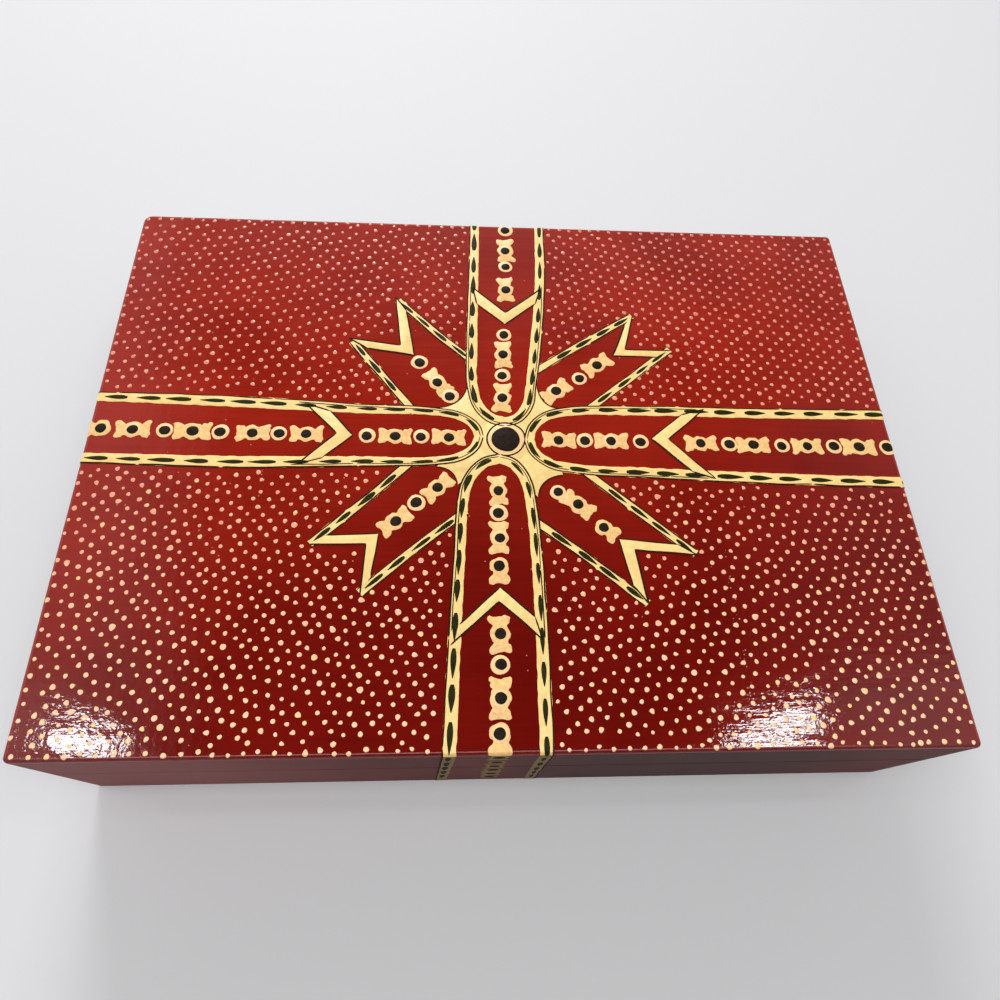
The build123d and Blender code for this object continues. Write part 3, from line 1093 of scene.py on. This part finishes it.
# then each quarter, row by row: every row runs along the first step and starts where the hand lands
for name, (stepA, stepB) in dots["rows"].items():
    along = Vector(stepA).normalized()
    for j in range(-dots["rowCount"], dots["rowCount"] + 1):
        start = hand.uniform(-dots["rowShift"], dots["rowShift"])
        for i in range(-dots["rowCount"], dots["rowCount"] + 1):
            place = Vector(stepA) * (i + start) + Vector(stepB) * j
            outside = abs(place.x) > dots["fieldHalf"][0] or abs(place.y) > dots["fieldHalf"][1]
            if outside or quarterName(*place) != name:
                continue
            spot = place * dots["waveRate"]
            wave = [noise.noise(Vector((*spot, level))) for level in dots["waveLevels"]]
            place += Vector(wave) * dots["waveSize"] + along * hand.gauss(0, dots["jitterAlong"])
            x, y = place + along.orthogonal() * hand.gauss(0, dots["jitterAcross"])
            inset = min(halfWide - abs(x), halfDeep - abs(y))
            if inset > dots["fieldInset"] and dotFits(x, y):
                dotPlaces.append((x, y))
print("dots placed:", len(dotPlaces))

dotStamps = {name: [] for name in dots["rows"]}
for x, y in dotPlaces:
    big = hand.random() < dots["bigShare"]
    radius = hand.uniform(*(dots["bigRadius"] if big else dots["radius"]))
    scale = (radius, radius * hand.uniform(0.88, 1.05), dots["height"] * (0.8 + 0.5 * radius))
    matrix = placeStamp(x, y, hand.uniform(0, math.tau), 0.0, scale)
    dotStamps[quarterName(x, y)].append((hand.choice(dotModels), matrix))
for name, stamps in dotStamps.items():
    layOnBox(stampCopies("dots_" + name, stamps), "dots", cuts=0)

for models in [*stampModels.values(), dotModels]:
    for model in models:
        bpy.data.objects.remove(model)


# Small chips in a line from front to back, where something has scraped over the lid
scrape = {
    "x": 65.0,
    "clusters": [
        (-77, 2.5, 9), (-69, 2.6, 7), (-59, 3.0, 5), (-48, 4.0, 6), (-38, 2.0, 3), (40, 5.0, 6), (90, 1.5, 7),
    ],
    "radius": (0.09, 0.26),
}
hand = random.Random(77)
chips = []
for middle, reach, count in scrape["clusters"]:
    for index in range(count):
        x, y = scrape["x"] + hand.gauss(0, 0.55), middle + hand.uniform(-reach, reach)
        chips.append(roundOutline((x, y), hand.uniform(*scrape["radius"]), 6, 0.5, index))
layOnBox(paintShapes("scrape_chips", chips, 0.0, 0.03), "chipped")


# The boards, hinges and nails keep their own shapes and get their finishes
inside = {
    "paint": [(48, 38, 34), (24, 19, 17)],
    "wood": (150, 106, 70),
    "gloss": 0.62,
    "margin": 0.05,
    "rimReach": 0.2,
    "underReach": 0.3,
}


def makeBoardFinish(name, undersideDark):
    # red lacquer outside and thin black paint inside, on the rims and, on the bottom board, underneath
    material = paints["lacquer"].copy()
    material.name = name
    tree = material.node_tree
    shader = tree.nodes["Principled BSDF"]
    parts = placeParts(tree)
    margin = inside["margin"]
    dark = doMath("GREATER_THAN", parts["Z"], bottomTop - margin)
    places = absolute(parts["X"]), absolute(parts["Y"]), parts["Z"]
    for place, end in zip(places, (innerWide, innerDeep, panelUnder)):
        dark = times(dark, doMath("LESS_THAN", place, end + margin))
    fromSeam = absolute(minus(parts["Z"], (lidRim + baseRim) / 2))
    dark = doMath("MAXIMUM", dark, doMath("LESS_THAN", fromSeam, inside["rimReach"]))
    if undersideDark:
        dark = doMath("MAXIMUM", dark, doMath("LESS_THAN", parts["Z"], inside["underReach"]))
    grain = spread(addNoise(tree, (0.02, 0.6, 0.6), 5.0, 0.7), 0.62, 0.75, 0.0, 0.35)
    black = mixColours(grain, layHand(tree, inside["paint"], 0.08), inside["wood"])
    red, satin = [shader.inputs[name].links[0].from_socket for name in ("Base Color", "Roughness")]
    feed(shader.inputs["Base Color"], mixColours(dark, red, black))
    feed(shader.inputs["Roughness"], mixValues(dark, satin, inside["gloss"]))
    return material


def makeMetal(name, bright, dull, roughness):
    material, tree, shader = newMaterial(name, roughness, metallic=1.0)
    feed(shader.inputs["Base Color"], layHand(tree, (bright, dull), 0.7))
    smear = addNoise(tree, (0.4, 2.0, 2.0), 4.0)
    feed(shader.inputs["Roughness"], spread(smear, 0.3, 0.75, roughness - 0.08, roughness + 0.14))
    addBrushMarks(shader, 0.02, Streaks=0.6, Ripple=0.1, Peel=1.2)
    return material


finishes = {
    "lacquered_wood": makeBoardFinish("lacquered_board", False),
    "bottom_wood": makeBoardFinish("bottom_board", True),
    "hinge_brass": makeMetal("tarnished_brass", (214, 170, 92), (132, 98, 54), 0.34),
    "nail_steel": makeMetal("plain_steel", (176, 172, 166), (98, 92, 88), 0.4),
}
for subpart in frame["record"]["subparts"]:
    node = frame["nodes"][subpart["node"]]
    for materialSlot in node.material_slots:
        materialSlot.material = finishes[subpart["material_slot"]]


# Floor, light and camera
studio = {
    "floorColour": (220, 220, 222),
    "floorSize": 24.0,
    "floorFade": (0.45, 1.5),
    "backdrop": 0.78,
    "leftGlow": 0.5,
    "rightGlow": 0.3,
    "nearGlow": 0.55,
    "backGlow": 0.42,
    "restGlow": 0.03,
    "camera": (-0.016372, -0.119090, 0.255547),
    "lens": 26.515,
    "right": (0.99781532, -0.02342337, 0.06177325),
    "down": (0.0065905, -0.89508093, -0.44585501),
    "ahead": (0.06573549, 0.44528807, -0.8929711),
}

bpy.ops.object.select_all(action="DESELECT")
bpy.ops.mesh.primitive_plane_add(size=studio["floorSize"], location=(0, 0, 0))
floor = bpy.context.object
floor.name = "floor"
material, tree, shader = newMaterial("pale_floor", 0.7, 0.2)
# well away from the box the floor glows like the backdrop, so that the two meet softly
away = addNode(tree, "ShaderNodeTexCoord").outputs["Object"]
away = addNode(tree, "ShaderNodeVectorMath", {0: away}, operation="LENGTH").outputs["Value"]
far = spread(away, *studio["floorFade"])
feed(shader.inputs["Base Color"], mixColours(far, studio["floorColour"], (0, 0, 0)))
feed(shader.inputs["Emission Color"], mixColours(far, (0, 0, 0), (255, 255, 255)))
shader.inputs["Emission Strength"].default_value = studio["backdrop"]
floor.data.materials.append(material)


def addPanel(name, place, target, size, power):
    light = bpy.data.lights.new(name, "AREA")
    setAll(light, shape="RECTANGLE", size=size[0], size_y=size[1], energy=power)
    lamp = setAll(addObject(name, light), visible_camera=False, location=place)
    lamp.rotation_euler = (Vector(target) - Vector(place)).to_track_quat("-Z", "Y").to_euler()


addPanel("overhead_panel", (0.0, -0.2, 1.2), (0, -0.1, 0), (1.3, 0.36), 6.8)
addPanel("window_panel", (-0.25, 1.55, 0.95), (0, 0, 0), (0.7, 0.4), 20)
addPanel("left_lamp", (-0.610, 0.070, 1.135), (-0.1, -0.088, 0.057), (0.045, 0.1), 0.45)
addPanel("right_lamp", (0.546, 0.078, 1.147), (0.07, -0.088, 0.057), (0.03, 0.145), 0.46)

# pale walls to the left, to the right and behind, brighter low at both sides, and darkness overhead
world = bpy.data.worlds.new("studio_walls")
bpy.context.scene.world = world
world.use_nodes = True
tree = world.node_tree
direction = addNode(tree, "ShaderNodeTexCoord").outputs["Generated"]
parts = addNode(tree, "ShaderNodeSeparateXYZ", {"Vector": direction}).outputs
outward = spread(absolute(parts["X"]), 0.4, 0.5)
near = times(outward, spread(parts["Y"], 0.24, 0.16, 0.0, studio["nearGlow"]))
glow = doMath("ADD", times(near, spread(parts["Z"], 0.5, 0.75)), studio["restGlow"])
walls = ("X", -0.27, -0.42, "leftGlow"), ("X", 0.3, 0.6, "rightGlow"), ("Y", 0.55, 0.75, "backGlow")
for axis, low, high, wall in walls:
    glow = doMath("ADD", glow, spread(parts[axis], low, high, 0.0, studio[wall]))
# seen straight on, there is a plain pale backdrop
direct = addNode(tree, "ShaderNodeLightPath").outputs["Is Camera Ray"]
feed(tree.nodes["Background"].inputs["Color"], (255, 255, 255))
feed(tree.nodes["Background"].inputs["Strength"], mixValues(direct, glow, studio["backdrop"]))

cameraData = bpy.data.cameras.new("camera")
setAll(cameraData, sensor_fit="HORIZONTAL", sensor_width=36, lens=studio["lens"], clip_start=0.01)
camera = addObject("camera", cameraData)
columns = (Vector(studio["right"]), -Vector(studio["down"]), -Vector(studio["ahead"]))
camera.rotation_euler = Matrix(columns).transposed().to_euler()
camera.location = studio["camera"]
bpy.context.scene.camera = camera
bpy.context.scene.view_settings.view_transform = "Standard"
print("studio ready")
